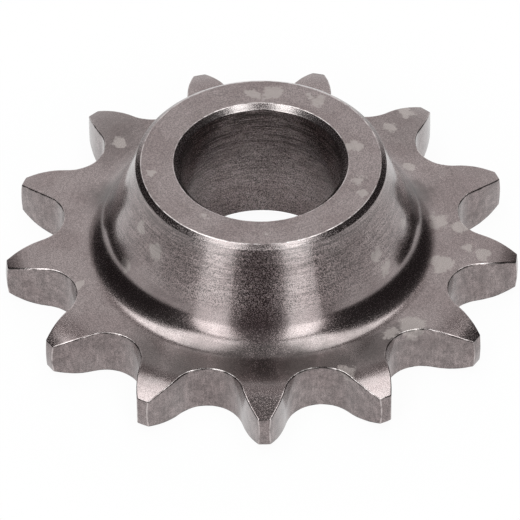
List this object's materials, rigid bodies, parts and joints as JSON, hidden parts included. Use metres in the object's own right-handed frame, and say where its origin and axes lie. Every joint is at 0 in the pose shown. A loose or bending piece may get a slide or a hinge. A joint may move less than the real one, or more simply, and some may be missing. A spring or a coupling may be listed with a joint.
{
  "type": "chain sprocket",
  "caption": "Steel chain sprocket, a toothed plate with a coned hub on one side and a plain bore, which drives or is driven by a roller chain.",
  "frame": {"origin": "on the bore's axis, in the middle of the teeth's width, which is the chain line", "axes": "+Z along the bore, from the plate towards the hub; -Y through the middle of one tooth, the one nearest the camera"},
  "size_m": [0.0578, 0.0573, 0.0168],
  "materials": {
    "steel": "bare turned and milled steel with a fine matt grain, a few pale spots and bright edges"
  },
  "bodies": {
    "root": {"sprocket": "steel"}
  },
  "joints": []
}
